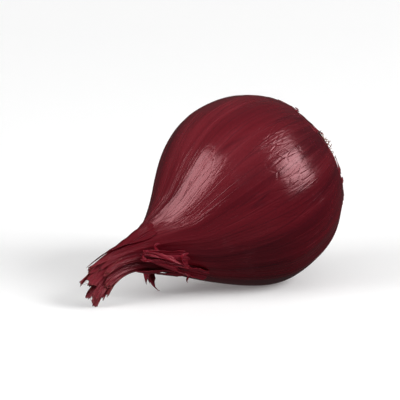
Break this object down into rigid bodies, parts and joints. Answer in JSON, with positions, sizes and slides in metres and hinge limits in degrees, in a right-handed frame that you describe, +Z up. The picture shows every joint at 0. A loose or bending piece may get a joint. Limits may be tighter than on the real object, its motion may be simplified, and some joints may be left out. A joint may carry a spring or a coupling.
{
  "type": "red onion",
  "caption": "Round red onion with a dried, twisted neck, papery skin peeling at the neck and a tuft of short dry roots, lying on its side.",
  "frame": {"origin": "middle of the small flat spot that the belly rests on, in the plane of the surface that the onion lies on", "axes": "+Z up; the bulb's own axis lies in the XZ plane, with the neck towards -X and down to the surface, and the roots towards +X and up"},
  "size_m": [0.1119, 0.075, 0.075],
  "materials": {
    "skin": "satin",
    "dry_root": "matte"
  },
  "bodies": {
    "root": {"bulb": "skin", "roots": "dry_root"}
  },
  "joints": []
}
